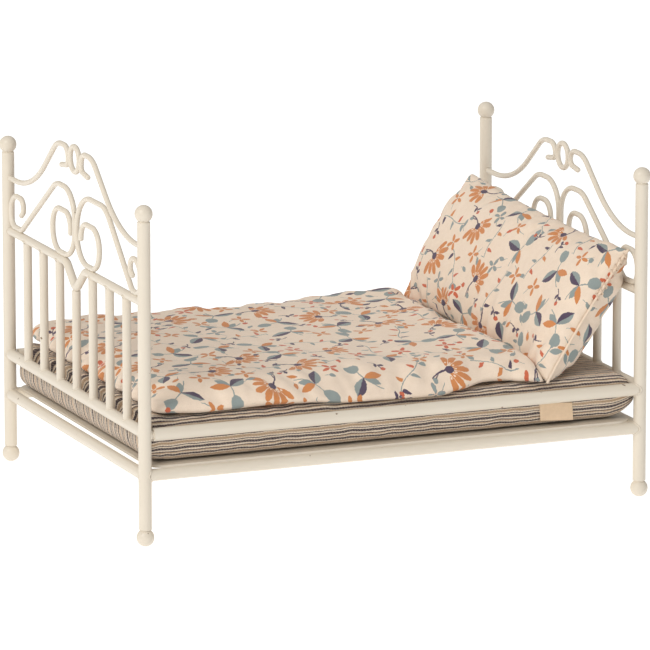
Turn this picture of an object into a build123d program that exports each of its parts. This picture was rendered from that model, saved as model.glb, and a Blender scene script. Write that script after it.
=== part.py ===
from build123d import *
import math
import os

# Miniature bedstead of welded and painted rods, with a loose mattress, duvet and pillow.
# Millimetres. X runs from the foot end (-X) to the head end (+X), Y across the bed and Z up
# from the floor. Left is -Y and right is +Y, as the sleeper lies on their back.

# Frame
post_spacing_x = 222.8
post_spacing_y = 161.0
post_radius = 2.7
ball_radius = 3.7
ball_neck_radius = 2.2
foot_flat_radius = 1.2
footboard_finial_z = 138.6
headboard_finial_z = 137.4
post_end_chamfer = 0.5

# Rails between the posts, by the height of their centre lines; each is cut off square at the
# end offset from the post's axis and coped round the post
lower_rail_z = 29.5
lower_end_rail_radius = 2.45
middle_rail_z = 47.1
middle_rail_radius = 2.4
lower_side_rail_radius = 2.5
upper_side_rail_radius = 2.7
upper_side_rail_z = 46.3
side_rail_neck_radius = 1.7
side_rail_neck_length = 0.8
rail_end_offset = 1.6
footboard_top_rail_z = 101.4
headboard_top_rail_z = 87.8
top_rail_radius = 1.75
notch_half_width = 11.4
notch_depth = 9.7
notch_shoulder_bend = 6.0
notch_tip_bend = 3.5

# Spindles
spindles_each_side = 3
spindle_pitch = 19.6
spindle_radius = 1.85
spindle_top_chamfer = 0.6
spindle_sink = 0.6

# Scrollwork, bent from thin wire; heights are above the top rail's centre line. It stands a
# little off the middle of the posts, to the left at the foot and to the right at the head. Three
# of the lower scrolls have a straight shoulder, and one a full, rounder one.
wire_radius = 1.15
weld_sink = 0.15
scroll_shift = 1.7
scroll_peak_z = 31.6
curl_top_z = 16.4
loop_outer_y = 27.6
footboard_loop_inner_y = 6.0
headboard_loop_inner_y = 9.4
full_scroll = "footboard_left"
full_shoulder_y = 35.2
full_curl_inner_y = 65.0
full_loop_top_z = 20.1
straight_shoulder_y = 22.9
straight_curl_inner_y = 61.8
straight_loop_top_z = 21.2
footboard_crest_peak_z = 49.3
headboard_crest_peak_z = 47.9
crest_foot_z = 23.0
crest_hook_z = 41.6
crest_shift = -1.0
ring_radius = 5.3

# Sheet panel that carries the mattress
panel_length = 217.0
panel_thickness = 1.0
panel_corner_radius = 7.0

# Bedding
mattress_size = (217.2, 153.8, 19.2)
mattress_edge_radius = 5.0
bedding_gap = 0.2
label_size = (15.0, 0.5, 7.6)
label_centre_x = 74.0
label_centre_z = 39.1
duvet_x = (-107.4, 65.0)
duvet_y = (-77.0, 81.0)
duvet_thickness = 6.8
duvet_edge_radius = 3.2
pillow_size = (65.0, 152.0, 16.0)
pillow_edge_radius = 7.0
pillow_lean = 56.7
pillow_bottom_x = 69.3
pillow_bottom_z = 54.6
pillow_centre_y = -3.0

half_x = post_spacing_x / 2
half_y = post_spacing_y / 2
rail_end_x = half_x - rail_end_offset
rail_end_y = half_y - rail_end_offset
neck_offset = math.sqrt(ball_radius**2 - ball_neck_radius**2)
foot_ball_z = math.sqrt(ball_radius**2 - foot_flat_radius**2)
panel_bottom_z = lower_rail_z + lower_side_rail_radius
panel_top_z = panel_bottom_z + panel_thickness
mattress_bottom_z = panel_top_z + bedding_gap
mattress_top_z = mattress_bottom_z + mattress_size[2]
scroll_base_z = top_rail_radius + wire_radius - weld_sink
crest_inner_y = ring_radius + 2 * wire_radius

sides = {"left": -1, "right": 1}
post_tops = {"footboard": (-half_x, footboard_finial_z), "headboard": (half_x, headboard_finial_z)}


def rod(start, end, radius):
    """A straight round rod between two points."""
    line = Line(start, end)
    return sweep(Plane(origin=line @ 0, z_dir=line % 0) * Circle(radius), path=line)


def bent_rod(points, bends, radius):
    """A round rod along straight runs joined by arcs; bends has one radius for each corner."""
    path = FilletPolyline(*points, radius=bends)
    return sweep(Plane(origin=path @ 0, z_dir=path % 0) * Circle(radius), path=path)


def without(shape, *others):
    """The shape with the pieces that it is welded against taken out, as one solid."""
    for other in others:
        shape = shape - other
    return shape.solids().sort_by(SortBy.VOLUME)[-1]


def round_end(wire, point):
    """Rounds the cut end of a wire that stands free."""
    edge = wire.edges().filter_by(GeomType.CIRCLE).sort_by_distance(point)[0]
    return fillet(edge, 0.8 * wire_radius)


def post(x, y, finial_z):
    bottom = foot_ball_z + neck_offset
    height = finial_z - neck_offset - bottom
    body = Pos(x, y, bottom + height / 2) * Cylinder(post_radius, height)
    return chamfer(body.edges().filter_by(GeomType.CIRCLE), post_end_chamfer)


def ball_foot(x, y):
    ball = Pos(x, y, foot_ball_z) * Sphere(ball_radius)
    ball = split(ball, bisect_by=Plane.XY, keep=Keep.TOP)
    return split(ball, bisect_by=Plane.XY.offset(foot_ball_z + neck_offset), keep=Keep.BOTTOM)


def finial(x, y, finial_z):
    ball = Pos(x, y, finial_z) * Sphere(ball_radius)
    return split(ball, bisect_by=Plane.XY.offset(finial_z - neck_offset), keep=Keep.TOP)


def lower_side_rail(y):
    return rod((-rail_end_x, y, lower_rail_z), (rail_end_x, y, lower_rail_z), lower_side_rail_radius)


def upper_side_rail(y):
    """Stops short of the footboard post, where a weld as thick as its neck holds it."""
    rail_start = -half_x + post_radius + side_rail_neck_length
    z = upper_side_rail_z
    rail = rod((rail_start, y, z), (rail_end_x, y, z), upper_side_rail_radius)
    neck = rod((-half_x, y, z), (rail_start, y, z), side_rail_neck_radius)
    return rail + neck


def top_rail(x, middle_y, z):
    """The scrollwork stands on this rail, which dips to a notch over the middle spindle."""
    points = [
        (x, -rail_end_y, z),
        (x, middle_y - notch_half_width, z),
        (x, middle_y, z - notch_depth),
        (x, middle_y + notch_half_width, z),
        (x, rail_end_y, z),
    ]
    return bent_rod(points, [notch_shoulder_bend, notch_tip_bend, notch_shoulder_bend], top_rail_radius)


def spindle(x, y, top_rail_z):
    """Stands on the middle rail, its chamfered top let into the underside of the top rail."""
    top = top_rail_z - top_rail_radius + spindle_sink
    height = top - middle_rail_z
    body = Pos(x, y, middle_rail_z + height / 2) * Cylinder(spindle_radius, height)
    return chamfer(body.edges().filter_by(GeomType.CIRCLE).sort_by(Axis.Z)[-1], spindle_top_chamfer)


def spindles(name, x, middle_y, rail_z):
    """Evenly spaced under the top rail; the middle one is shorter, to reach the notch."""
    slope = math.atan2(notch_depth, notch_half_width)
    notch_z = rail_z - notch_depth + notch_tip_bend * (1 / math.cos(slope) - 1)
    pieces = {}
    for i in range(-spindles_each_side, spindles_each_side + 1):
        number = i + spindles_each_side + 1
        top_z = notch_z if i == 0 else rail_z
        pieces[f"{name}_spindle_{number}"] = spindle(x, middle_y + i * spindle_pitch, top_z)
    return pieces


def lower_scroll(x, middle_y, side, rail_z, loop_inner_y, full):
    """Curl by the post, up the shoulder, over the peak, down the middle and round the loop.

    A full scroll has a rounder shoulder and a narrower curl than a straight one.
    """
    shoulder_y = full_shoulder_y if full else straight_shoulder_y
    peak_bend = 16.5 if full else 13.0
    curl_inner_y = full_curl_inner_y if full else straight_curl_inner_y
    loop_top_z = full_loop_top_z if full else straight_loop_top_z
    curl_outer_y = half_y - post_radius - wire_radius + weld_sink
    inner_y = wire_radius - weld_sink / 2
    curl = [
        (curl_inner_y + 3.2, 8.6),
        (curl_inner_y, 11.0),
        (curl_inner_y, curl_top_z),
        (curl_outer_y, curl_top_z),
        (curl_outer_y, scroll_base_z),
    ]
    curl_bends = [2.2, 3.9, 7.0, 4.8]
    sweep_and_loop = [
        (65.5, scroll_base_z),
        (shoulder_y, scroll_peak_z),
        (inner_y, scroll_peak_z),
        (inner_y, scroll_base_z),
        (loop_outer_y, scroll_base_z),
        (loop_outer_y, loop_top_z),
        (loop_inner_y, loop_top_z),
        (loop_inner_y, 12.0),
    ]
    sweep_bends = [5.0, 14.0, peak_bend, 12.0, 8.5, 8.5, 6.8]
    points = [(x, side * y, rail_z + z) for y, z in curl]
    points += [(x, middle_y + side * y, rail_z + z) for y, z in sweep_and_loop]
    wire = bent_rod(points, curl_bends + sweep_bends, wire_radius)
    wire = round_end(wire, points[0])
    wire = round_end(wire, points[-1])
    half_space = Pos(x, middle_y + side * half_y, rail_z) * Box(20, 2 * half_y, 200)
    return wire & half_space


def upper_scroll(x, side, rail_z, peak_z):
    """Rises from the post to the crest and hooks back beside the ring."""
    outline = [
        (51.8, crest_foot_z),
        (20.6, peak_z),
        (crest_inner_y, peak_z),
        (crest_inner_y, crest_hook_z),
        (16.3, crest_hook_z - 1.3),
    ]
    bends = [55.0, 14.0, 4.8, 2.6]
    points = [(x, side * rail_end_y, rail_z + crest_foot_z)]
    points += [(x, crest_shift + side * y, rail_z + z) for y, z in outline]
    return round_end(bent_rod(points, bends, wire_radius), points[-1])


def ring(x, rail_z, peak_z):
    """Held between the hooks of the two upper scrolls, level with their crests."""
    centre_z = rail_z + peak_z - 0.74 * ring_radius
    return Pos(x, crest_shift, centre_z) * Rot(0, 90, 0) * Torus(ring_radius, wire_radius)


def end_frame(name, end, rail_z, peak_z, loop_inner_y, posts, side_rails):
    """Rails, spindles and scrollwork between two posts; end is -1 at the foot and 1 at the head."""
    x = end * half_x
    middle_y = end * scroll_shift
    middle = rod((x, -rail_end_y, middle_rail_z), (x, rail_end_y, middle_rail_z), middle_rail_radius)
    bottom = rod((x, -rail_end_y, lower_rail_z), (x, rail_end_y, lower_rail_z), lower_end_rail_radius)
    top = without(top_rail(x, middle_y, rail_z), *posts)
    middle = without(middle, *posts, *side_rails)
    bottom = without(bottom, *posts, *side_rails)
    pieces = {f"{name}_top_rail": top, f"{name}_middle_rail": middle, f"{name}_bottom_rail": bottom}
    for spindle_name, body in spindles(name, x, middle_y, rail_z).items():
        pieces[spindle_name] = without(body, top, middle)
    for side_name, side in sides.items():
        full = f"{name}_{side_name}" == full_scroll
        lower = lower_scroll(x, middle_y, side, rail_z, loop_inner_y, full)
        upper = upper_scroll(x, side, rail_z, peak_z)
        pieces[f"{name}_{side_name}_lower_scroll"] = without(lower, top, *posts)
        pieces[f"{name}_{side_name}_upper_scroll"] = without(upper, *posts)
    pieces[f"{name}_ring"] = ring(x, rail_z, peak_z)
    return pieces


def bedstead():
    pieces = {}
    posts = {"footboard": [], "headboard": []}
    for end_name, (x, finial_z) in post_tops.items():
        for side_name, side in sides.items():
            corner = f"{end_name}_{side_name}"
            pieces[f"{corner}_post"] = post(x, side * half_y, finial_z)
            pieces[f"{corner}_finial"] = finial(x, side * half_y, finial_z)
            pieces[f"{corner}_ball_foot"] = ball_foot(x, side * half_y)
            posts[end_name].append(pieces[f"{corner}_post"])
    side_rails = []
    for side_name, side in sides.items():
        for level, rail in (("upper", upper_side_rail), ("lower", lower_side_rail)):
            body = without(rail(side * half_y), *posts["footboard"], *posts["headboard"])
            pieces[f"{side_name}_{level}_side_rail"] = body
            side_rails.append(body)
    foot = ("footboard", -1, footboard_top_rail_z, footboard_crest_peak_z, footboard_loop_inner_y)
    head = ("headboard", 1, headboard_top_rail_z, headboard_crest_peak_z, headboard_loop_inner_y)
    for name, end, rail_z, peak_z, loop_inner_y in (foot, head):
        pieces |= end_frame(name, end, rail_z, peak_z, loop_inner_y, posts[name], side_rails)
    pieces["mattress_panel"] = mattress_panel()
    return pieces


def mattress_panel():
    sheet = Box(panel_length, post_spacing_y, panel_thickness)
    sheet = fillet(sheet.edges().filter_by(Axis.Z), panel_corner_radius)
    return Pos(0, 0, panel_bottom_z + panel_thickness / 2) * sheet


def mattress():
    block = Pos(0, 0, mattress_bottom_z + mattress_size[2] / 2) * Box(*mattress_size)
    return fillet(block.edges(), mattress_edge_radius)


def mattress_label():
    """A folded ribbon sewn flat against the mattress's left side."""
    y = -(mattress_size[1] + label_size[1]) / 2
    return Pos(label_centre_x, y, label_centre_z) * Box(*label_size)


def duvet():
    length = duvet_x[1] - duvet_x[0]
    width = duvet_y[1] - duvet_y[0]
    centre = Pos(sum(duvet_x) / 2, sum(duvet_y) / 2, mattress_top_z + bedding_gap + duvet_thickness / 2)
    return fillet((centre * Box(length, width, duvet_thickness)).edges(), duvet_edge_radius)


def pillow():
    """Stands on the mattress and leans back on the headboard."""
    block = Pos(pillow_size[0] / 2, 0, 0) * Box(*pillow_size)
    block = fillet(block.edges(), pillow_edge_radius)
    return Pos(pillow_bottom_x, pillow_centre_y, pillow_bottom_z) * Rot(0, -pillow_lean, 0) * block


def main():
    os.makedirs("parts", exist_ok=True)
    pieces = bedstead()
    pieces["mattress"] = mattress()
    pieces["mattress_label"] = mattress_label()
    pieces["duvet"] = duvet()
    pieces["pillow"] = pillow()
    for name, shape in pieces.items():
        export_step(shape, f"parts/{name}.step")


main()
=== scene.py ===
"""A doll's bedstead of painted rods with a ticking mattress, a printed duvet and a printed pillow.

Metres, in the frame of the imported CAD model: X from the foot end to the head end, Z up.
"""

import math

import bpy
import numpy as np
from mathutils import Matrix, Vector, noise


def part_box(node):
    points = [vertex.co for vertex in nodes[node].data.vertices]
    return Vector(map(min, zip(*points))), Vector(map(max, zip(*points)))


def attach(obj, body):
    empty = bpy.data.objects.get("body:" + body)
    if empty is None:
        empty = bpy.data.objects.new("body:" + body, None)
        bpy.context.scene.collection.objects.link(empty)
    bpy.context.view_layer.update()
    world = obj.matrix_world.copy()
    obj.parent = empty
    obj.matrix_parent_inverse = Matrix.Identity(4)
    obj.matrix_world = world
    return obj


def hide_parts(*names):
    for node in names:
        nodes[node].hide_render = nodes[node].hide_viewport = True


MM = 0.001

# The print's spacing on the cloth and the cotton's threads, in mm
MAIN_PITCH = 20.0
SEED_PITCH = 6.2
COTTON_THREAD_PITCH = 0.36

# How far the motifs and seeds stray, as a share of their spacing
MOTIF_JITTER = 0.14
SEED_JITTER = 0.3

# The share of their places that these motifs fill; others take the rest
DAISY_SHARE = 0.66
SPRIG_SHARE = 0.5
SMALL_FLOWER_SHARE = 0.6

# How much larger the motifs are printed than their functions draw them
DAISY_SIZE = 1.14
LEAF_GROUP_SIZE = 1.1
SMALL_FLOWER_SIZE = 1.2

# How far the seeds keep from the middle of a motif, in mm
CLEAR_OF_MAIN = 9.3
CLEAR_OF_SMALL = 5.2

# The ticking's repeat of stripes, the twist of its yarns and their width, in mm
STRIPE_REPEAT = 6.8
TWIST_PITCH = 1.25
YARN_PITCH = 0.55

# Spindles of the end frames, and the radius of a side rail's necked end, in mm
SPINDLE_PITCH = 19.6
SPINDLE_MIDDLE = -1.7
SPINDLE_COUNT = 7
MIDDLE_SPINDLE = 4
SIDE_RAIL_NECK = 1.7

# Base colours, as linear red, green and blue
PAINT = (0.72, 0.655, 0.555)
BARE_METAL = (0.21, 0.135, 0.075)
CLOTH_CREAM = (0.88, 0.727, 0.585)
ORANGE = (0.65, 0.255, 0.09)
CORAL = (0.62, 0.15, 0.075)
PLUM = (0.100, 0.072, 0.115)
GREY_BLUE = (0.290, 0.335, 0.325)
# The thread is darker than the cloth: partly its own tone, partly painted shade of the frayed seam it is
# whipped over
SEAM_SHADED_THREAD = (0.76, 0.60, 0.47)
TAPE = (0.92, 0.70, 0.49)
TICKING_NAVY = (0.055, 0.042, 0.055)
TICKING_WHITE = (0.92, 0.78, 0.62)
TICKING_OCHRE = (0.56, 0.39, 0.25)
TICKING_WEFT = (0.50, 0.405, 0.32)

# The stripes of one repeat of the ticking: where each starts, and its colour
STRIPES = (
    (0.00, TICKING_NAVY),
    (0.15, TICKING_WHITE),
    (0.23, TICKING_NAVY),
    (0.28, TICKING_WHITE),
    (0.36, TICKING_OCHRE),
    (0.49, TICKING_WHITE),
    (0.55, TICKING_NAVY),
    (0.69, TICKING_WHITE),
    (0.77, TICKING_OCHRE),
    (0.84, TICKING_NAVY),
    (0.90, TICKING_WHITE),
)

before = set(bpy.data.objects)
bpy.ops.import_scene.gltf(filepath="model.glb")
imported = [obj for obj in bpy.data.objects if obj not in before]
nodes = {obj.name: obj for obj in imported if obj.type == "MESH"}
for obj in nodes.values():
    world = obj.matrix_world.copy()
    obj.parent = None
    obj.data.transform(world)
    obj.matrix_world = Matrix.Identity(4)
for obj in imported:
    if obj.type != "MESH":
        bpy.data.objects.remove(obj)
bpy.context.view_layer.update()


# ---------------------------------------------------------------- shader arithmetic


class Value:
    """A number in a shader's node tree; arithmetic on it adds math nodes."""

    def __init__(self, tree, socket):
        self.tree = tree
        self.socket = socket

    def op(self, name, *others):
        node = self.tree.nodes.new("ShaderNodeMath")
        node.operation = name
        self.tree.links.new(self.socket, node.inputs[0])
        for slot, other in enumerate(others, start=1):
            if isinstance(other, Value):
                self.tree.links.new(other.socket, node.inputs[slot])
            else:
                node.inputs[slot].default_value = other
        return Value(self.tree, node.outputs[0])

    def __add__(self, other):
        return self.op("ADD", other)

    def __sub__(self, other):
        return self.op("SUBTRACT", other)

    def __mul__(self, other):
        return self.op("MULTIPLY", other)

    def __truediv__(self, other):
        return self.op("DIVIDE", other)

    __radd__ = __add__
    __rmul__ = __mul__

    def squared(self):
        return self.op("MULTIPLY", self)

    def below(self, edge, soft):
        """1 where the number is under the edge, 0 over it, with a soft step between."""
        return ((self - edge) * (-1.0 / soft) + 0.5).clamped()

    def clamped(self):
        result = self.op("ADD", 0.0)
        result.socket.node.use_clamp = True
        return result


def add_node(tree, kind, **settings):
    node = tree.nodes.new(kind)
    for name, value in settings.items():
        setattr(node, name, value)
    return node


def set_input(tree, node, name, value):
    if isinstance(value, Value):
        value = value.socket
    if isinstance(value, bpy.types.NodeSocket):
        tree.links.new(value, node.inputs[name])
    else:
        node.inputs[name].default_value = value


def combined(tree, x, y, z=0.0):
    node = add_node(tree, "ShaderNodeCombineXYZ")
    for name, value in zip("XYZ", (x, y, z)):
        set_input(tree, node, name, value)
    return node.outputs[0]


def separated(tree, vector):
    node = add_node(tree, "ShaderNodeSeparateXYZ")
    tree.links.new(vector, node.inputs[0])
    return [Value(tree, out) for out in node.outputs]


def random_values(tree, x, y, seed):
    """Three random numbers that belong to the whole numbers x and y."""
    node = add_node(tree, "ShaderNodeTexWhiteNoise", noise_dimensions="3D")
    tree.links.new(combined(tree, x, y, seed), node.inputs["Vector"])
    return separated(tree, node.outputs["Color"])


def noise_value(tree, vector, scale, detail=2.0, roughness=0.5):
    node = add_node(tree, "ShaderNodeTexNoise")
    tree.links.new(vector, node.inputs["Vector"])
    node.inputs["Scale"].default_value = scale
    node.inputs["Detail"].default_value = detail
    node.inputs["Roughness"].default_value = roughness
    return Value(tree, node.outputs["Fac"])


def mixed(tree, share, first, second):
    """A colour between two, each a colour or a socket."""
    node = add_node(tree, "ShaderNodeMix", data_type="RGBA")
    set_input(tree, node, 0, share)
    for slot, colour in ((6, first), (7, second)):
        if isinstance(colour, bpy.types.NodeSocket):
            tree.links.new(colour, node.inputs[slot])
        else:
            node.inputs[slot].default_value = (*colour, 1.0)
    return node.outputs[2]


def new_material(name, **constants):
    """A material with one principled shader; constants are set on its own sockets."""
    material = bpy.data.materials.new(name)
    material.use_nodes = True
    shader = material.node_tree.nodes["Principled BSDF"]
    for socket, value in constants.items():
        shader.inputs[socket.replace("_", " ")].default_value = value
    return material, material.node_tree, shader


def shaded(colour, factors):
    """The colour with each channel scaled by its own factor."""
    return [channel * factor for channel, factor in zip(colour, factors)]


def sine_along(place, pitch):
    """A sine along a coordinate, one turn for each pitch."""
    return (place * (2 * math.pi / pitch)).op("SINE")


def add_bump(tree, shader, height, distance):
    node = add_node(tree, "ShaderNodeBump")
    node.inputs["Strength"].default_value = 1.0
    node.inputs["Distance"].default_value = distance
    set_input(tree, node, "Height", height)
    tree.links.new(node.outputs["Normal"], shader.inputs["Normal"])


# ---------------------------------------------------------------- paint


def paint_material(name, wear):
    """Warm ivory lacquer, sprayed over rod: slightly uneven, with specks where it is thin."""
    material, tree, shader = new_material(
        name, IOR=1.47, Coat_Weight=0.12, Coat_Roughness=0.18, Specular_IOR_Level=0.45
    )
    place = add_node(tree, "ShaderNodeTexCoord").outputs["Object"]
    clouds = noise_value(tree, place, 45.0, 3.0)
    grain = noise_value(tree, place, 2600.0, 2.0)
    specks = noise_value(tree, place, 420.0, 1.0)
    tone = mixed(tree, clouds * 0.9, PAINT, shaded(PAINT, (0.95, 0.93, 0.90)))
    thin = specks.below(0.205, 0.02) * wear
    colour = mixed(tree, thin, tone, BARE_METAL)
    tree.links.new(colour, shader.inputs["Base Color"])
    roughness = clouds * 0.10 + 0.34 + grain * 0.06
    tree.links.new(roughness.socket, shader.inputs["Roughness"])
    height = noise_value(tree, place, 900.0, 2.0) * 0.6 + grain * 0.25 - thin * 0.5
    add_bump(tree, shader, height, 0.00006)
    return material


# ---------------------------------------------------------------- printed cotton


def cloth_place(tree):
    """Where each point lies on its piece's flat cloth, in mm."""
    return add_node(tree, "ShaderNodeAttribute", attribute_name="cloth").outputs["Vector"]


def ellipse(x, y, centre_x, centre_y, half_x, half_y, soft=0.12):
    """1 inside an ellipse, 0 outside."""
    across = ((x - centre_x) / half_x).squared()
    along = ((y - centre_y) / half_y).squared()
    return (across + along).below(1.0, soft)


def turned(x, y, angle):
    """Coordinates turned by an angle, which is a number or a Value."""
    if isinstance(angle, Value):
        c, s = angle.op("COSINE"), angle.op("SINE")
    else:
        c, s = math.cos(angle), math.sin(angle)
    return x * c + y * s, y * c - x * s


class Scatter:
    """Spots for one kind of motif: one in each cell of a grid, jittered and turned at random.

    x and y are coordinates about the nearest spot, centre_u and centre_v say where it is, and
    chance has three random numbers for it.
    """

    def __init__(self, tree, u, v, cell, seed, jitter, shift):
        self.settings = (cell, seed, jitter, shift)
        self.column = (u / cell + shift).op("FLOOR")
        self.row = (v / cell + shift).op("FLOOR")
        move_u, move_v, spin = random_values(tree, self.column, self.row, seed)
        self.centre_u = (self.column + (move_u - 0.5) * jitter + (0.5 - shift)) * cell
        self.centre_v = (self.row + (move_v - 0.5) * jitter + (0.5 - shift)) * cell
        offset_u, offset_v = u - self.centre_u, v - self.centre_v
        self.distance = (offset_u.squared() + offset_v.squared()).op("SQRT")
        self.x, self.y = turned(offset_u, offset_v, spin * (2 * math.pi))
        self.chance = random_values(tree, self.column, self.row, seed + 3.0)


def ink(tree, colour, share, ink_colour):
    """Prints ink over a colour."""
    return mixed(tree, share, colour, ink_colour)


def curved_line(x, y, bend, start, end, half_width):
    """A line up the Y axis that curves to one side."""
    offset = (x - y.squared() * bend).op("ABSOLUTE")
    beyond = (y - (start + end) / 2).op("ABSOLUTE")
    return offset.below(half_width, 0.12) * beyond.below((end - start) / 2, 0.2)


def leaf(x, y, length, half_width):
    """A pointed leaf from the origin up the Y axis."""
    along = (y - length / 2) / (length / 2)
    edge = along.squared() * -half_width + half_width
    return (x.op("ABSOLUTE") - edge).below(0.0, 0.12)


def print_daisies(tree, colour, x, y, here):
    """Half-open daisies: a fan of round-tipped petals over a dark calyx, stem and bud."""
    radius = (x.squared() + y.squared()).op("SQRT")
    angle = x.op("ARCTAN2", y)
    step = math.radians(27)
    number = (angle / step).op("ROUND").op("MINIMUM", 3.0).op("MAXIMUM", -3.0)
    local = angle - number * step
    along = radius * local.op("COSINE")
    across = radius * local.op("SINE")
    reach = (number * 2.4).op("SINE") * 0.6
    taper = along * 0.10 + 0.5
    petals = ellipse(across / taper, along - reach, 0.0, 5.3, 1.1, 3.3, 0.16)
    dots = ellipse(across, along, 0.0, 3.3, 0.3, 0.45, 0.5)
    calyx = ellipse(x, y, 0.0, 1.0, 1.5, 1.55, 0.2)
    stem = curved_line(x, y, 0.055, -7.4, 1.0, 0.3)
    twig_x, twig_y = turned(x - 0.7, y + 3.4, -2.2)
    twig = curved_line(twig_x, twig_y, 0.06, 0.0, 2.7, 0.2)
    bud = ellipse(twig_x, twig_y, 0.4, 3.6, 0.95, 1.25, 0.2)
    colour = ink(tree, colour, petals * here, ORANGE)
    colour = ink(tree, colour, dots * here, CLOTH_CREAM)
    colour = ink(tree, colour, bud * here, GREY_BLUE)
    return ink(tree, colour, (calyx.op("MAXIMUM", stem)).op("MAXIMUM", twig) * here, PLUM)


def print_leaf_groups(tree, colour, x, y, here):
    """A folded two-tone leaf, a slim orange leaf and a round leaf on one fine stem."""
    folded_x, folded_y = turned(x, y, 0.35)
    folded = leaf(folded_x, folded_y, 9.0, 2.3)
    dark_half = folded * folded_x.below(0.15, 0.12)
    slim_x, slim_y = turned(x, y, 2.75)
    slim = leaf(slim_x, slim_y, 7.8, 1.5)
    round_x, round_y = turned(x, y, -1.6)
    stem = curved_line(round_x, round_y, 0.05, -7.5, 4.6, 0.24)
    blade = ellipse(round_x, round_y, 1.0, 7.0, 2.4, 3.2, 0.12)
    pale_x, pale_y = turned(x, y, 2.1)
    pale = leaf(pale_x, pale_y, 6.6, 1.5)
    grey = stem.op("MAXIMUM", blade).op("MAXIMUM", folded).op("MAXIMUM", pale)
    colour = ink(tree, colour, grey * here, GREY_BLUE)
    colour = ink(tree, colour, slim * here, ORANGE)
    return ink(tree, colour, dark_half * here, PLUM)


def print_sprigs(tree, colour, x, y, here):
    """A long wavy stem with leaves in several colours on alternate sides."""
    wave = (y * 0.28).op("SINE") * 1.1
    stem = (x - wave).op("ABSOLUTE").below(0.22, 0.12) * y.op("ABSOLUTE").below(11.0, 0.2)
    step = 4.2
    number = (y / step).op("ROUND").op("MINIMUM", 2.0).op("MAXIMUM", -2.0)
    side = number.op("PINGPONG", 1.0) * 2.0 - 1.0
    leaf_x, leaf_y = turned((x - wave) * side, y - number * step, 0.9)
    blade = leaf(leaf_x, leaf_y - 0.6, 6.0, 1.35)
    tip = leaf(x - wave, y - 10.0, 4.2, 1.0)
    blade = blade.op("MAXIMUM", tip)
    colour = ink(tree, colour, (stem.op("MAXIMUM", blade)) * here, GREY_BLUE)
    blade = blade * here
    for at, leaf_colour in ((1.0, CORAL), (-1.0, ORANGE), (-2.0, PLUM)):
        one = (number - at).op("ABSOLUTE").below(0.5, 0.01)
        colour = ink(tree, colour, blade * one, leaf_colour)
    return colour


def print_small_flowers(tree, colour, x, y, here, choice):
    """Little four-petalled flowers in orange, coral or grey-blue, each on a short stalk."""
    radius = (x.squared() + y.squared()).op("SQRT")
    step = math.pi / 2
    angle = y.op("ARCTAN2", x)
    local = angle - (angle / step).op("ROUND") * step
    along = radius * local.op("COSINE")
    across = radius * local.op("SINE")
    petals = ellipse(across, along, 0.0, 2.0, 0.75, 1.6, 0.25) * here
    stalk = curved_line(x, y, 0.12, -4.8, 0.0, 0.17) * here
    colour = ink(tree, colour, stalk, GREY_BLUE)
    colour = ink(tree, colour, petals, ORANGE)
    colour = ink(tree, colour, petals * choice.op("GREATER_THAN", 0.5), CORAL)
    return ink(tree, colour, petals * choice.op("GREATER_THAN", 0.75), GREY_BLUE)


def print_twigs(tree, colour, x, y, here):
    """Small dark twigs with two side shoots and a berry."""
    stem = curved_line(x, y, 0.09, -3.8, 3.0, 0.26)
    left_x, left_y = turned(x, y + 0.8, -0.9)
    left = leaf(left_x, left_y, 3.0, 0.75)
    right_x, right_y = turned(x, y - 0.6, 0.9)
    right = leaf(right_x, right_y, 3.0, 0.75)
    berry = ellipse(x, y, 0.6, 3.6, 1.1, 1.1, 0.25)
    colour = ink(tree, colour, berry * here, CORAL)
    return ink(tree, colour, stem.op("MAXIMUM", left).op("MAXIMUM", right) * here, PLUM)


def print_seeds(tree, colour, spots, here):
    """Single small leaves and berries that fill the gaps."""
    blade = leaf(spots.x, spots.y + 2.2, 4.4, 0.95)
    stalk = curved_line(spots.x, spots.y, 0.1, -4.0, 0.0, 0.15)
    berry = ellipse(spots.x, spots.y, 0.0, 0.0, 1.15, 1.3, 0.25)
    choice = spots.chance[1]
    round_one = choice.op("LESS_THAN", 0.35)
    shape = blade + (berry - blade) * round_one
    colour = ink(tree, colour, stalk.op("MAXIMUM", shape) * here, GREY_BLUE)
    for least, seed_colour in ((0.25, CORAL), (0.45, GREY_BLUE), (0.7, PLUM), (0.85, ORANGE)):
        colour = ink(tree, colour, shape * here * choice.op("GREATER_THAN", least), seed_colour)
    return colour


def clear_of(tree, spots, layer, reach):
    """1 where a spot keeps its distance from a layer's nearest motif, else 0."""
    there = Scatter(tree, spots.centre_u, spots.centre_v, *layer.settings)
    return there.distance.op("GREATER_THAN", reach)


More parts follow.
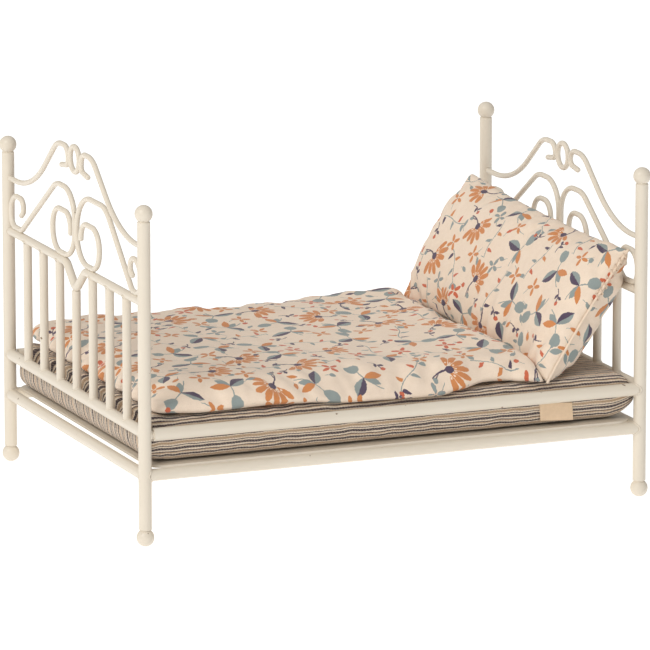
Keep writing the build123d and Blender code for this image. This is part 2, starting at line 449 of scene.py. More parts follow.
def print_motifs(tree, colour, u, v, seed):
    """Prints large motifs in a chequer, small ones between them and seeds in the gaps."""
    main = Scatter(tree, u, v, MAIN_PITCH, seed, MOTIF_JITTER, 0.0)
    even = (main.column + main.row).op("PINGPONG", 1.0)
    odd = even * -1.0 + 1.0
    daisy = even * main.chance[1].op("LESS_THAN", DAISY_SHARE)
    sprig = odd * main.chance[0].op("LESS_THAN", SPRIG_SHARE)
    leaves = (daisy + sprig) * -1.0 + 1.0
    colour = print_daisies(tree, colour, main.x / DAISY_SIZE, main.y / DAISY_SIZE + 1.0, daisy)
    colour = print_sprigs(tree, colour, main.x, main.y, sprig)
    leaf_x, leaf_y = main.x / LEAF_GROUP_SIZE, main.y / LEAF_GROUP_SIZE
    colour = print_leaf_groups(tree, colour, leaf_x, leaf_y, leaves)

    small = Scatter(tree, u, v, MAIN_PITCH, seed + 7.0, MOTIF_JITTER, 0.5)
    flower = small.chance[1].op("LESS_THAN", SMALL_FLOWER_SHARE)
    flower_x, flower_y = small.x / SMALL_FLOWER_SIZE, small.y / SMALL_FLOWER_SIZE
    colour = print_small_flowers(tree, colour, flower_x, flower_y, flower, small.chance[2])
    colour = print_twigs(tree, colour, small.x, small.y, flower * -1.0 + 1.0)

    seeds = Scatter(tree, u, v, SEED_PITCH, seed + 20.0, SEED_JITTER, 0.0)
    clear = clear_of(tree, seeds, main, CLEAR_OF_MAIN) * clear_of(tree, seeds, small, CLEAR_OF_SMALL)
    return print_seeds(tree, colour, seeds, clear)


def print_material(name, seed):
    """Cream cotton with a scattered floral print; the ink follows the cloth's own coordinates."""
    material, tree, shader = new_material(
        name, Sheen_Weight=0.25, Sheen_Roughness=0.5, Specular_IOR_Level=0.18, Roughness=0.88
    )
    cloth = cloth_place(tree)
    u, v, _ = separated(tree, cloth)
    bleed = add_node(tree, "ShaderNodeTexNoise")
    tree.links.new(cloth, bleed.inputs["Vector"])
    bleed.inputs["Scale"].default_value = 1.1
    bleed.inputs["Detail"].default_value = 1.0
    drift_u, drift_v, _ = separated(tree, bleed.outputs["Color"])

    mottle = noise_value(tree, cloth, 0.35, 4.0, 0.6)
    pale = shaded(CLOTH_CREAM, (1.05, 1.07, 1.10))
    dull = shaded(CLOTH_CREAM, (0.93, 0.91, 0.88))
    colour = mixed(tree, mottle, dull, pale)
    print_u = u + (drift_u - 0.5) * 0.7
    print_v = v + (drift_v - 0.5) * 0.7
    colour = print_motifs(tree, colour, print_u, print_v, seed)

    weave = sine_along(u, COTTON_THREAD_PITCH) * sine_along(v, COTTON_THREAD_PITCH)
    slub = noise_value(tree, cloth, 2.6, 2.0)
    # Brightness follows the weave's bump: painted shade of the threads; the slub's part is random tone
    # of the yarn
    lift = weave * 0.05 + (slub - 0.5) * 0.2
    weave_shade_and_slub = add_node(tree, "ShaderNodeHueSaturation")
    tree.links.new(colour, weave_shade_and_slub.inputs["Color"])
    tree.links.new((lift + 1.0).socket, weave_shade_and_slub.inputs["Value"])
    tree.links.new(weave_shade_and_slub.outputs["Color"], shader.inputs["Base Color"])
    add_bump(tree, shader, weave * 0.5 + slub * 0.8, 0.00007)
    return material


# ---------------------------------------------------------------- ticking


def ticking_material(name):
    """Striped mattress cloth of two-ply yarn: navy, off-white and ochre stripes along the bed."""
    material, tree, shader = new_material(
        name, Sheen_Weight=0.2, Sheen_Roughness=0.5, Specular_IOR_Level=0.15, Roughness=0.92
    )
    cloth = cloth_place(tree)
    u, v, _ = separated(tree, cloth)
    waver = noise_value(tree, combined(tree, u * 0.25, v * 0.8), 1.0, 2.0)
    across = v + (waver - 0.5) * 0.35
    place = (across / STRIPE_REPEAT).op("FRACT")
    stripes = add_node(tree, "ShaderNodeValToRGB")
    stripes.color_ramp.interpolation = "CONSTANT"
    elements = stripes.color_ramp.elements
    while len(elements) < len(STRIPES):
        elements.new(0.5)
    for element, (position, colour) in zip(elements, STRIPES):
        element.position = position
        element.color = (*colour, 1.0)
    tree.links.new(place.socket, stripes.inputs["Fac"])

    twist = sine_along(u + across * 0.9, TWIST_PITCH)
    yarn = sine_along(across, YARN_PITCH)
    fleck = noise_value(tree, cloth, 1.3, 3.0, 0.7)
    shown = (twist * 0.5 + 0.5) * 0.36 + (fleck - 0.5) * 0.7
    crossing = mixed(tree, shown.clamped(), stripes.outputs["Color"], TICKING_WEFT)
    tree.links.new(crossing, shader.inputs["Base Color"])
    height = twist * 0.35 + yarn * 0.45 + fleck * 0.6
    add_bump(tree, shader, height, 0.00016)
    return material


def plain_cloth(name, tint):
    """Undyed cotton in one colour: the label's tape, the seam and the thread, whose darker colour is
    partly painted shade of the seam.
    """
    material, tree, shader = new_material(
        name, Sheen_Weight=0.3, Sheen_Roughness=0.4, Specular_IOR_Level=0.2, Roughness=0.85
    )
    place = add_node(tree, "ShaderNodeTexCoord").outputs["Object"]
    x, _, z = separated(tree, place)
    rib = sine_along(x, 0.0005)
    thread = sine_along(z, 0.0004)
    mottle = noise_value(tree, place, 700.0, 3.0)
    colour = mixed(tree, mottle, tint, shaded(tint, (0.86, 0.84, 0.80)))
    tree.links.new(colour, shader.inputs["Base Color"])
    add_bump(tree, shader, rib * thread * 0.5 + mottle, 0.00008)
    return material


# ---------------------------------------------------------------- soft goods

# Cloth is blown up on a larger copy of the piece, for so many frames
SIM_SCALE = 8.0
SIM_FRAMES = 20
CLOTH_SETTINGS = {
    "quality": 6,
    "mass": 0.15,
    "tension_stiffness": 12.0,
    "compression_stiffness": 8.0,
    "shear_stiffness": 4.0,
    "bending_stiffness": 0.12,
    "use_pressure": True,
    "vertex_group_mass": "held",
    "pin_stiffness": 1.0,
}


def new_object(name, vertices, faces):
    mesh = bpy.data.meshes.new(name)
    mesh.from_pydata([tuple(v) for v in vertices], [], faces)
    mesh.validate()
    mesh.update()
    mesh.polygons.foreach_set("use_smooth", [True] * len(mesh.polygons))
    obj = bpy.data.objects.new(name, mesh)
    bpy.context.scene.collection.objects.link(obj)
    return obj


def sewn_sheets(name, columns, rows, place):
    """Two sheets of quads sewn together round their edge.

    place(s, t, side) gives a point in mm; s and t run from -1 to 1, side is 1 on the upper sheet
    and -1 on the lower. Returns the object and each vertex's (s, t, side), side 0 on the seam.
    """
    keys = []
    index = {}
    for side in (1, -1):
        for i in range(columns + 1):
            for j in range(rows + 1):
                seam = i in (0, columns) or j in (0, rows)
                if seam and side == -1:
                    index[i, j, -1] = index[i, j, 1]
                    continue
                index[i, j, side] = len(keys)
                keys.append((2 * i / columns - 1, 2 * j / rows - 1, 0 if seam else side))
    faces = []
    for i in range(columns):
        for j in range(rows):
            corners = [(i, j), (i + 1, j), (i + 1, j + 1), (i, j + 1)]
            faces.append([index[a, b, 1] for a, b in corners])
            faces.append([index[a, b, -1] for a, b in reversed(corners)])
    points = [Vector(place(s, t, side)) * MM for s, t, side in keys]
    return new_object(name, points, faces), keys


def points_of(obj):
    points = np.empty(len(obj.data.vertices) * 3)
    obj.data.vertices.foreach_get("co", points)
    return points.reshape(-1, 3)


def set_points(obj, points):
    obj.data.vertices.foreach_set("co", points.ravel())
    obj.data.update()


def blown_up(obj, pressure, slack):
    """Where the piece's vertices end when pressure fills it as cloth, its "held" group held."""
    cloth = obj.modifiers.new("puff", "CLOTH")
    for name, value in CLOTH_SETTINGS.items():
        setattr(cloth.settings, name, value)
    cloth.settings.uniform_pressure_force = pressure
    cloth.settings.shrink_min = -slack
    cloth.settings.effector_weights.gravity = 0.0
    cloth.collision_settings.use_collision = False
    cloth.point_cache.frame_start = 1
    cloth.point_cache.frame_end = SIM_FRAMES
    for number in range(1, SIM_FRAMES + 1):
        bpy.context.scene.frame_set(number)
    evaluated = obj.evaluated_get(bpy.context.evaluated_depsgraph_get())
    points = points_of(evaluated)
    obj.modifiers.remove(cloth)
    return points


def puff(obj, held, pressure, slack, cap):
    """Blows the piece up as cloth, held at some vertices, and keeps each move under the cap in mm.

    slack is the share by which the cloth is cut larger than the shape, which makes it pucker.
    """
    start = points_of(obj)
    set_points(obj, start * SIM_SCALE)
    group = obj.vertex_groups.new(name="held")
    for index, weight in held.items():
        group.add([index], weight, "REPLACE")
    moved = blown_up(obj, pressure, slack) / SIM_SCALE
    obj.vertex_groups.remove(group)
    bpy.context.scene.frame_set(1)
    step = moved - start
    length = np.linalg.norm(step, axis=1, keepdims=True)
    limit = cap * MM
    share_kept = limit * np.tanh(length / limit) / np.maximum(length, 1e-12)
    set_points(obj, start + step * share_kept)


def bake_modifiers(obj):
    """Makes what the piece's modifiers do its own mesh."""
    bpy.context.view_layer.update()
    evaluated = obj.evaluated_get(bpy.context.evaluated_depsgraph_get())
    old = obj.data
    obj.data = bpy.data.meshes.new_from_object(evaluated)
    obj.modifiers.clear()
    bpy.data.meshes.remove(old)
    obj.data.name = obj.name
    obj.data.polygons.foreach_set("use_smooth", [True] * len(obj.data.polygons))


def subdivide(obj):
    modifier = obj.modifiers.new("smooth", "SUBSURF")
    modifier.levels = 1
    modifier.render_levels = 1
    bake_modifiers(obj)


def store_cloth(obj, coordinates):
    """Keeps each vertex's place on the flat cloth, in mm, for the print and the weave."""
    attribute = obj.data.attributes.new("cloth", "FLOAT_VECTOR", "POINT")
    attribute.data.foreach_set("vector", np.asarray(coordinates, np.float32).ravel())


def along_edge(x, knots):
    """The y and z of an edge at x, by cosine steps between its knots of x, y and z."""
    if x <= knots[0][0]:
        return knots[0][1:]
    for (x0, y0, z0), (x1, y1, z1) in zip(knots, knots[1:]):
        if x <= x1:
            share = (1 - math.cos(math.pi * (x - x0) / (x1 - x0))) / 2
            return y0 + (y1 - y0) * share, z0 + (z1 - z0) * share
    return knots[-1][1:]


def ripple(x, y, z, size, seed):
    """Soft noise from -1 to 1 with features of about that size in mm."""
    return noise.noise(Vector((x / size + seed * 17.3, y / size, z / size)))


# ---- mattress

MATTRESS_EDGE_RADIUS = 5.5

# The mattress lies between the end frames and the side rails: its limits in x and y, in mm
MATTRESS_LOW_LIMIT = (-110.9, -77.4)
MATTRESS_HIGH_LIMIT = (110.0, 77.4)
MATTRESS_TOP_SPARE = 3.0

LABEL_Y = -77.45
LABEL_THICKNESS = 0.45


def box_shell(columns, rows, layers):
    """The surface of a box as a grid: its (i, j, k) vertices and its faces."""
    index = {}
    for k in range(layers + 1):
        for i in range(columns + 1):
            for j in range(rows + 1):
                if k in (0, layers) or i in (0, columns) or j in (0, rows):
                    index[i, j, k] = len(index)
    faces = []

    def quad(*corners):
        faces.append([index[corner] for corner in corners])

    for i in range(columns):
        for j in range(rows):
            quad((i, j, layers), (i + 1, j, layers), (i + 1, j + 1, layers), (i, j + 1, layers))
            quad((i, j + 1, 0), (i + 1, j + 1, 0), (i + 1, j, 0), (i, j, 0))
    for k in range(layers):
        for i in range(columns):
            quad((i, 0, k), (i + 1, 0, k), (i + 1, 0, k + 1), (i, 0, k + 1))
            quad((i + 1, rows, k), (i, rows, k), (i, rows, k + 1), (i + 1, rows, k + 1))
        for j in range(rows):
            quad((0, j + 1, k), (0, j, k), (0, j, k + 1), (0, j + 1, k + 1))
            quad((columns, j, k), (columns, j + 1, k), (columns, j + 1, k + 1), (columns, j, k + 1))
    return list(index), faces


def crowded(i, count):
    """Evenly numbered steps from -1 to 1, closer together at both ends."""
    a = 2 * i / count - 1
    return math.copysign(1 - (1 - abs(a)) ** 1.35, a)


def girth(core, reach, half_z, radius, angle):
    """Distance along the cloth from the middle of the top, over the edge and down the side."""
    return reach + radius * angle + (half_z - radius) - core.z


def eased(value, start, end):
    """0 before start, 1 after end, smooth between."""
    share = max(0.0, min(1.0, (value - start) / (end - start)))
    return share * share * (3 - 2 * share)


def rounded(p, half, radius):
    """Moves a point of a box to its rounded surface, whose corners are nearly square in plan.

    Returns the point and its place on the cloth, which runs from the top down the sides.
    """
    core = Vector(max(radius - h, min(h - radius, c)) for c, h in zip(p, half))
    out = (p - core).normalized()
    square = (math.hypot(out.x, out.y) / max(abs(out.x), abs(out.y), 1e-9)) ** 0.75
    p = core + Vector((out.x * square, out.y * square, out.z)) * radius
    u, v = p.x, p.y
    if abs(out.y) > abs(out.x):
        angle = math.atan2(abs(out.y), out.z)
        v = math.copysign(girth(core, half.y - radius, half.z, radius, angle), p.y)
    elif abs(out.x) > 0:
        angle = math.atan2(abs(out.x), out.z)
        u = math.copysign(girth(core, half.x - radius, half.z, radius, angle), p.x)
    return p, (u, v, 0.0)


def settled(x, y, z, middle_z, half):
    """Unevenness of the filling, tufts between the foot spindles, and corners that lift."""
    up = (z - middle_z) / half.z
    foot = eased(-x, half.x - 10.0, half.x - 1.0)
    at_spindle = math.cos(math.pi * (y - SPINDLE_MIDDLE) / SPINDLE_PITCH) ** 4
    tuft = foot * eased(z, 49.0, 51.0)
    x += foot * at_spindle * eased(up, -0.2, 0.8) * 3.2 - tuft * (1 - at_spindle) * 2.3
    z += eased(up, 0.1, 0.9) * (ripple(x, y, 0, 27, 1) * 0.9 + ripple(x, y, 0, 9, 2) * 0.35 - 0.25)
    z += foot * eased(up, 0.0, 1.0) * (2.8 - 6.4 * at_spindle)
    side = eased(abs(y), half.y - 6.0, half.y - 1.0)
    y += math.copysign(side * (ripple(x, 0, z * 2, 15, 3) * 0.9 - 0.35), y)
    near_head = max(0.0, (x - 98.0) / 10.0) ** 1.5 * eased(-y, 52.0, 74.0) * eased(-up, -0.6, 0.9)
    z += near_head * 4.5
    tip = eased(x, 94.0, 104.0) * eased(-y, 62.0, 73.0) * eased(-up, -0.1, 0.3)
    x += tip * 1.6
    y -= tip * 0.8
    near_foot = eased(-x, 94.0, 106.0) * eased(-y, 66.0, 76.0)
    z += near_foot * ripple(x, y, z, 4.0, 6) * 1.1
    return x, y, z


def mattress():
    low, high = (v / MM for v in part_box("mattress"))
    half = (high - low) / 2
    middle_z = (low.z + high.z) / 2
    columns, rows, layers = 78, 58, 8
    keys, faces = box_shell(columns, rows, layers)
    points, cloth, held = [], [], {}
    for number, (i, j, k) in enumerate(keys):
        level = half.z * (2 * k / layers - 1)
        square = Vector((half.x * crowded(i, columns), half.y * crowded(j, rows), level))
        p, flat = rounded(square, half, MATTRESS_EDGE_RADIUS)
        points.append((p.x, p.y, p.z + middle_z))
        cloth.append(flat)
        held[number] = 1.0 if k == 0 else 0.6 if k == layers else 0.2
    obj = new_object("mattress_cover", np.array(points) * MM, faces)
    store_cloth(obj, cloth)
    puff(obj, held, 2.0, 0.04, 1.6)
    shaped = [settled(x, y, z, middle_z, half) for x, y, z in points_of(obj) / MM]
    low_limit = (*MATTRESS_LOW_LIMIT, low.z)
    high_limit = (*MATTRESS_HIGH_LIMIT, high.z + MATTRESS_TOP_SPARE)
    set_points(obj, np.clip(shaped, low_limit, high_limit) * MM)
    subdivide(obj)
    obj.data.materials.append(ticking_material("ticking_cloth"))
    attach(obj, "mattress")
    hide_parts("mattress")


def mattress_label():
    """A short tape, folded double, sewn into the side; it curls a little away from the cloth."""
    low, high = (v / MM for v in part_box("mattress_label"))
    columns, rows, layers = 24, 12, 2
    keys, faces = box_shell(columns, layers, rows)
    points = []
    for i, k, j in keys:
        along, down, depth = i / columns, 1 - j / rows, k / layers
        x = low.x + (high.x - low.x) * along + 0.5 * down
        z = high.z - (high.z - low.z) * down - 0.9 * (along - 0.5)
        curl = 0.3 * math.sin(2.3 * math.pi * along + 0.5) * down
        lift = 0.55 * down * eased(along, 0.55, 1.0)
        y = LABEL_Y + curl * 0.5 - lift * 0.5 + LABEL_THICKNESS * (depth - 0.5)
        points.append((x, y, z))
    obj = new_object("label_tape", np.array(points) * MM, faces)
    bevel_edges(obj, 0.12)
    obj.data.materials.append(plain_cloth("label_cloth", TAPE))
    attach(obj, "mattress")
    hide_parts("mattress_label")


def bevel_edges(obj, width):
    """Rounds the piece's sharp edges."""
    modifier = obj.modifiers.new("edges", "BEVEL")
    modifier.width = width * MM
    modifier.segments = 2
    modifier.limit_method = "ANGLE"
    modifier.angle_limit = math.radians(50)
    bake_modifiers(obj)


# ---- duvet

# Points along the duvet's long edges: x, y and the height of the seam
DUVET_NEAR_EDGE = (
    (-107, -73.5, 54.4), (-100, -76.8, 54.4), (-85, -77.6, 53.8), (-62, -77.8, 54.2), (-39, -77.8, 53.9),
    (-16, -78.4, 51.8), (6, -78.8, 51.3), (22, -78.6, 51.2), (30, -77.6, 52.6), (44, -75, 55.0),
    (53, -75.5, 54.9), (60, -77.5, 54.2), (69, -79.0, 52.6),
)
DUVET_FAR_EDGE = ((-107, 77, 57.5), (-60, 80.5, 57.0), (0, 79.5, 56.5), (69, 78, 57.5))
DUVET_FOOT_X = -104.0
DUVET_FOOT_TUFT = 2.4
DUVET_HEAD_X = 69.0
DUVET_SEAM_Z = 55.4
DUVET_TOP_RISE = 5.2
DUVET_BOTTOM_DROP = 2.7
DUVET_HEAD_RISE = 2.6


def duvet():
    _, mattress_high = (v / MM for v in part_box("mattress"))
    radius = MATTRESS_EDGE_RADIUS
    top_edge = mattress_high.y - radius

    def mattress_top(y):
        past = max(0.0, min(radius - 0.1, abs(y) - top_edge))
        return mattress_high.z - radius + math.sqrt(radius**2 - past**2)

    def place(s, t, side):
        share = (s + 1) / 2
        x = DUVET_FOOT_X + (DUVET_HEAD_X - DUVET_FOOT_X) * share
        near, near_z = along_edge(x, DUVET_NEAR_EDGE)
        far, far_z = along_edge(x, DUVET_FAR_EDGE)
        y = near + (far - near) * (t + 1) / 2
        between_spindles = 1 - abs(math.cos(math.pi * (y - SPINDLE_MIDDLE) / SPINDLE_PITCH)) ** 2
        x -= DUVET_FOOT_TUFT * between_spindles * eased(-s, 0.86, 1.0)
        crown = ((1 - abs(s) ** 16) * (1 - abs(t) ** 14)) ** 0.5
        level = DUVET_SEAM_Z
        level += (near_z - level) * eased(near + 13 - y, 0.0, 12.0)
        level += (far_z - level) * eased(y - far + 20, 0.0, 19.0)
        level += ripple(x, y, 0, 18, 8) * 0.7 * (1 - crown)
        if side == 0:
            return x, y, level
        if side < 0:
            return x, y, max(level - DUVET_BOTTOM_DROP * crown, min(level, mattress_top(y) + 0.2))
        wave = ripple(x, y, 0, 36, 4) * 2.0 + ripple(x, y, 0, 14, 5) * 1.1 + ripple(x, y, 0, 6, 6) * 0.35
        wave += eased(x, 40.0, 64.0) * DUVET_HEAD_RISE
        return x, y, level + (DUVET_TOP_RISE + wave) * crown

    columns, rows = 76, 70
    obj, keys = sewn_sheets("duvet_cover", columns, rows, place)
    store_cloth(obj, points_of(obj) / MM * (1.0, 1.0, 0.0))
    held = {n: {0: 1.0, -1: 1.0, 1: 0.06}[side] for n, (_, _, side) in enumerate(keys)}
    puff(obj, held, 1.5, 0.06, 2.2)
    subdivide(obj)
    obj.data.materials.append(print_material("duvet_cotton", 2.0))
    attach(obj, "duvet")
    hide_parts("duvet")


# ---- pillow

PILLOW_NEAR_BOTTOM = Vector((69.5, -78.3, 51.8))
PILLOW_NEAR_TOP = Vector((108.4, -74.5, 105.2))
PILLOW_FAR_BOTTOM = Vector((66.0, 67.0, 59.5))
PILLOW_FAR_TOP = Vector((99.5, 68.0, 112.8))
PILLOW_FRONT_BULGE = 7.0
PILLOW_BACK_BULGE = 11.0
PILLOW_WAIST = 1.8
PILLOW_HALF_HEIGHT = 33
PILLOW_HALF_WIDTH = 76

# The pillow's cloth before it is filled, and how much of it the filling takes up on each side
PILLOW_CLOTH_HALF_HEIGHT = 38.0
PILLOW_CLOTH_HALF_WIDTH = 79.0
BACK_TAKES_UP = 9.0
FRONT_TAKES_UP = 4.0

# The back of the pillow is flat here, a little short of the headboard's spindles
PILLOW_LIMIT_X = 109.2

SEAM_RIDGE_RADIUS = 0.62
STITCH_TURNS = 8
STITCH_RADIUS = 1.25
THREAD_RADIUS = 0.30


def pillow_plane():
    """Directions up the pillow, across it, and out of its front."""
    along = (PILLOW_NEAR_TOP - PILLOW_NEAR_BOTTOM).normalized()
    across = (PILLOW_FAR_BOTTOM - PILLOW_NEAR_BOTTOM).normalized()
    return along, across, along.cross(across).normalized()


def pillow_crown(s, t):
    """How full the pillow is: 0 on the seam, 1 in the middle."""
    return ((1 - abs(s) ** 3.2) * (1 - abs(t) ** 14)) ** 0.55


def pillow_place(s, t, side):
    """A point of the pillow: s from bottom to top, t from the near end to the far end."""
    high, wide = PILLOW_HALF_HEIGHT, PILLOW_HALF_WIDTH
    a = (1 + s * (1 - PILLOW_WAIST / high * (1 - t * t) * abs(s) ** 3)) / 2
    b = (1 + t * (1 - PILLOW_WAIST / wide * (1 - s * s) * abs(t) ** 3)) / 2
    near = PILLOW_NEAR_BOTTOM.lerp(PILLOW_NEAR_TOP, a)
    far = PILLOW_FAR_BOTTOM.lerp(PILLOW_FAR_TOP, a)
    _, _, front = pillow_plane()
    crown = pillow_crown(s, t)
    edge = 1 - crown
    pucker = ripple(s * high, t * wide, 0, 7.0, 9) * edge * crown * 3.0
    swell = ripple(s * high, t * wide, side * 40, 30, 12) * crown * 1.6
    fold = ripple(s * 10, t * wide, 0, 8.0, 21) * eased(-s, 0.1, 0.85) * crown * 3.2
    bulge = 0.0
    if side > 0:
        bulge = PILLOW_FRONT_BULGE * crown + pucker + swell + fold
    if side < 0:
        bulge = -PILLOW_BACK_BULGE * crown + pucker
    return near.lerp(far, b) + front * bulge


def pillow():
    columns, rows = 36, 82
    obj, keys = sewn_sheets("pillow_cover", columns, rows, pillow_place)
    cloth = []
    for s, t, side in keys:
        taken_up = (BACK_TAKES_UP if side < 0 else FRONT_TAKES_UP) * pillow_crown(s, t)
        half_height = PILLOW_CLOTH_HALF_HEIGHT - taken_up
        half_width = PILLOW_CLOTH_HALF_WIDTH - taken_up
        cloth.append((s * half_height, t * half_width, 0.0))
    store_cloth(obj, cloth)
    held = {n: 1.0 if side == 0 else 0.0 for n, (_, _, side) in enumerate(keys)}
    puff(obj, held, 2.5, 0.07, 3.0)
    points = points_of(obj) / MM
    points[:, 0] = np.minimum(points[:, 0], PILLOW_LIMIT_X)
    set_points(obj, points * MM)
    subdivide(obj)
    obj.data.materials.append(print_material("pillow_cotton", 11.0))
    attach(obj, "pillow")
    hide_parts("pillow")
    pillow_seam(plain_cloth("seam_cotton", CLOTH_CREAM))
    pillow_stitches()


def tube(name, path, radius, sides=8, closed=False):
    """A round tube along points in mm; radius is one number or one for each point."""
    count = len(path)
    points = [Vector(p) for p in path]
    radii = [radius] * count if isinstance(radius, (int, float)) else radius
    vertices, faces = [], []
    normal = None
    for n in range(count):
        ahead = points[(n + 1) % count] if closed or n < count - 1 else points[n]
        behind = points[n - 1] if closed or n > 0 else points[n]
        tangent = (ahead - behind).normalized()
        if normal is None:
            normal = tangent.orthogonal().normalized()
        normal = (normal - tangent * normal.dot(tangent)).normalized()
        other = tangent.cross(normal)
        for m in range(sides):
            angle = 2 * math.pi * m / sides
            spoke = normal * math.cos(angle) + other * math.sin(angle)
            vertices.append((points[n] + spoke * radii[n]) * MM)
    for n in range(count if closed else count - 1):
        for m in range(sides):
            a, b = n * sides + m, n * sides + (m + 1) % sides
            c, d = (n + 1) % count * sides + (m + 1) % sides, (n + 1) % count * sides + m
            faces.append([a, b, c, d])
    if not closed:
        faces.append(list(range(sides))[::-1])
        faces.append(list(range((count - 1) * sides, count * sides)))
    return new_object(name, vertices, faces)


def seam_point(share):
    """A point on the pillow's seam, share 0 to 1 once round it from the near bottom corner."""
    corner, along = divmod(share * 4 % 4, 1)
    a = 2 * along - 1
    s, t = ((a, -1), (1, a), (-a, 1), (-1, -a))[int(corner)]
    return pillow_place(s, t, 0)


def pillow_seam(cotton):
    """At the near end the folded edges of the two pieces stand up as a thin ridge."""
    count = 90
    path, radii = [], []
    for n in range(count + 1):
        path.append(seam_point(n / count / 4))
        radii.append(SEAM_RIDGE_RADIUS + 0.08 * noise.noise(Vector((n * 0.35, 3.1, 0))))
    ridge = tube("pillow_seam", path, radii)
    ridge.data.materials.append(cotton)
    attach(ridge, "pillow")


def pillow_stitches():
    """The hand-sewn end of the closure: thread whipped over the seam by the near top corner."""
    steps = 14
    count = STITCH_TURNS * steps
    path = []
    _, _, front = pillow_plane()
    for n in range(count + 1):
        share = (0.60 + 0.36 * n / count) / 4
        centre = seam_point(share)
        along = (seam_point(share + 0.002) - seam_point(share - 0.002)).normalized()
        outward = front.cross(along).normalized()
        angle = 2 * math.pi * n / steps
        wobble = 1 + 0.25 * noise.noise(Vector((n / steps * 1.7, 8.2, 0)))
        spoke = front * math.cos(angle) + outward * math.sin(angle)
        path.append(centre + spoke * STITCH_RADIUS * wobble)
    stitches = tube("pillow_stitches", path, THREAD_RADIUS, sides=6)
    # The thread's darker colour holds painted shade of the frayed seam
    stitches.data.materials.append(plain_cloth("sewing_thread_with_painted_shade", SEAM_SHADED_THREAD))
    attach(stitches, "pillow")


# ---------------------------------------------------------------- the painted frame


def paint_frame():
    rods = paint_material("ivory_lacquer", 1.0)
    panel = paint_material("ivory_lacquer_panel", 0.5)
    for name, node in nodes.items():
        if node.hide_render:
            continue
        node.data.materials.clear()
        node.data.materials.append(panel if name == "mattress_panel" else rods)


def weld(host, host_axis, host_radius, rod_axis, rod_radius, seed):
    """The bead where a rod ends on the side of another: a ring that follows the round of it."""
    host, host_axis, rod_axis = Vector(host), Vector(host_axis), Vector(rod_axis)
    sideways = host_axis.cross(rod_axis)
    path, radii = [], []
    steps = 28
    spread = rod_radius + 0.1
    for n in range(steps):
        angle = 2 * math.pi * n / steps
        lateral = spread * math.cos(angle)
        reach = math.sqrt(max(0.3, host_radius**2 - lateral**2)) + 0.1
        lift = spread * math.sin(angle)
        path.append(host + rod_axis * reach + sideways * lateral + host_axis * lift)
        radii.append(0.34 + 0.14 * noise.noise(Vector((n * 0.5, seed * 3.3, 0.7))))
    return tube(f"weld_{seed}", path, radii, sides=8, closed=True)


def box_mm(name):
    low, high = (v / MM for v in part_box(name))
    return low, high, (low + high) / 2, (high - low) / 2


def post_welds(end, turn):
    """Where the end rails and the side rails meet an end's two posts; turn is -1 at the foot."""
    welds = []
    for side, sign in (("left", -1), ("right", 1)):
        _, _, post, post_half = box_mm(f"{end}_{side}_post")
        for level in ("top", "middle", "bottom"):
            low, high, _, _ = box_mm(f"{end}_{level}_rail")
            radius = (high.x - low.x) / 2
            place = (post.x, post.y, high.z - radius)
            welds.append((place, (0, 0, 1), post_half.x, (0, -sign, 0), radius))
        for level in ("upper", "lower"):
            _, _, rail, rail_half = box_mm(f"{side}_{level}_side_rail")
            radius = SIDE_RAIL_NECK if (end, level) == ("footboard", "upper") else rail_half.z
            place = (post.x, post.y, rail.z)
            welds.append((place, (0, 0, 1), post_half.x, (-turn, 0, 0), radius))
    return welds


def spindle_welds(end):
    """Where the spindles meet the rails; the middle one's head is under the top rail's notch."""
    welds = []
    _, rail_high, rail, _ = box_mm(f"{end}_middle_rail")
    _, top_high, _, top_half = box_mm(f"{end}_top_rail")
    for number in range(1, SPINDLE_COUNT + 1):
        _, _, spindle, spindle_half = box_mm(f"{end}_spindle_{number}")
        foot = (spindle.x, spindle.y, rail.z)
        welds.append((foot, (0, 1, 0), rail_high.x - rail.x, (0, 0, 1), spindle_half.x))
        if number != MIDDLE_SPINDLE:
            head = (spindle.x, spindle.y, top_high.z - top_half.x)
            welds.append((head, (0, 1, 0), top_half.x, (0, 0, -1), spindle_half.x))
    return welds


def weld_beads():
    """Beads where the rails meet the posts and the spindles meet the rails."""
    beads = []
    for end, turn in (("footboard", -1), ("headboard", 1)):
        beads += post_welds(end, turn) + spindle_welds(end)
    made = [weld(*bead, seed) for seed, bead in enumerate(beads)]
    with bpy.context.temp_override(active_object=made[0], selected_editable_objects=made):
        bpy.ops.object.join()
    joined = made[0]
    joined.name = "weld_beads"
    joined.data.materials.clear()
    joined.data.materials.append(bpy.data.materials["ivory_lacquer"])
    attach(joined, "bedstead")


# ---------------------------------------------------------------- stage, light and camera

SUBJECT = (0, 0, 0.06)
CAMERA_LENS = 377.65
CAMERA_PLACE = (-1.08066, -2.60815, 0.69008)
CAMERA_DIRECTION = (0.37424, 0.90192, -0.21562)


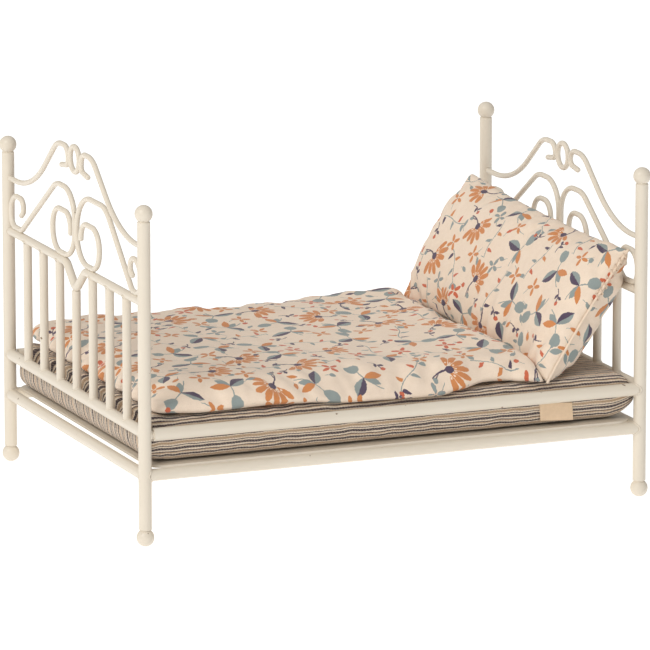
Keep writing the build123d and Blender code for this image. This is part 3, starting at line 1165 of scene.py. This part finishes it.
def white_floor():
    bpy.ops.mesh.primitive_plane_add(size=8.0, location=(0, 0, -0.0002))
    floor = bpy.context.object
    floor.name = "floor"
    material, _, _ = new_material(
        "white_floor",
        Base_Color=(0.6, 0.6, 0.6, 1.0),
        Roughness=0.9,
        Specular_IOR_Level=0.1,
        Emission_Color=(1.0, 1.0, 1.0, 1.0),
        Emission_Strength=0.74,
    )
    floor.data.materials.append(material)


def studio_light():
    """Light from all round, brighter from above and from the foot end."""
    world = bpy.data.worlds.new("studio")
    world.use_nodes = True
    tree = world.node_tree
    background = tree.nodes["Background"]
    background.inputs["Color"].default_value = (1.0, 0.99, 0.97, 1.0)
    x, _, z = separated(tree, add_node(tree, "ShaderNodeTexCoord").outputs["Generated"])
    strength = x * -0.24 + 0.27 + z.clamped() * 0.5
    tree.links.new(strength.socket, background.inputs["Strength"])
    bpy.context.scene.world = world


def softbox(name, position, size, power, colour):
    """A rectangular lamp that faces the bed."""
    light = bpy.data.lights.new(name, "AREA")
    light.shape = "RECTANGLE"
    light.size, light.size_y = size
    light.energy = power
    light.color = colour
    lamp = bpy.data.objects.new(name, light)
    bpy.context.scene.collection.objects.link(lamp)
    lamp.location = position
    direction = Vector(SUBJECT) - Vector(position)
    lamp.rotation_mode = "QUATERNION"
    lamp.rotation_quaternion = direction.to_track_quat("-Z", "Y")


def camera():
    data = bpy.data.cameras.new("camera")
    data.sensor_width = 36.0
    data.lens = CAMERA_LENS
    data.clip_start = 0.1
    data.clip_end = 30.0
    obj = bpy.data.objects.new("camera", data)
    bpy.context.scene.collection.objects.link(obj)
    obj.location = CAMERA_PLACE
    obj.rotation_mode = "QUATERNION"
    obj.rotation_quaternion = Vector(CAMERA_DIRECTION).to_track_quat("-Z", "Y")
    bpy.context.scene.camera = obj


bpy.context.scene.view_settings.view_transform = "Standard"
mattress()
mattress_label()
duvet()
pillow()
paint_frame()
weld_beads()
white_floor()
studio_light()
softbox("key", (-1.5, -0.9, 1.45), (0.9, 0.9), 19.5, (1.0, 0.97, 0.93))
softbox("fill", (0.6, -1.9, 0.5), (1.2, 0.8), 1.5, (1.0, 0.98, 0.96))
camera()
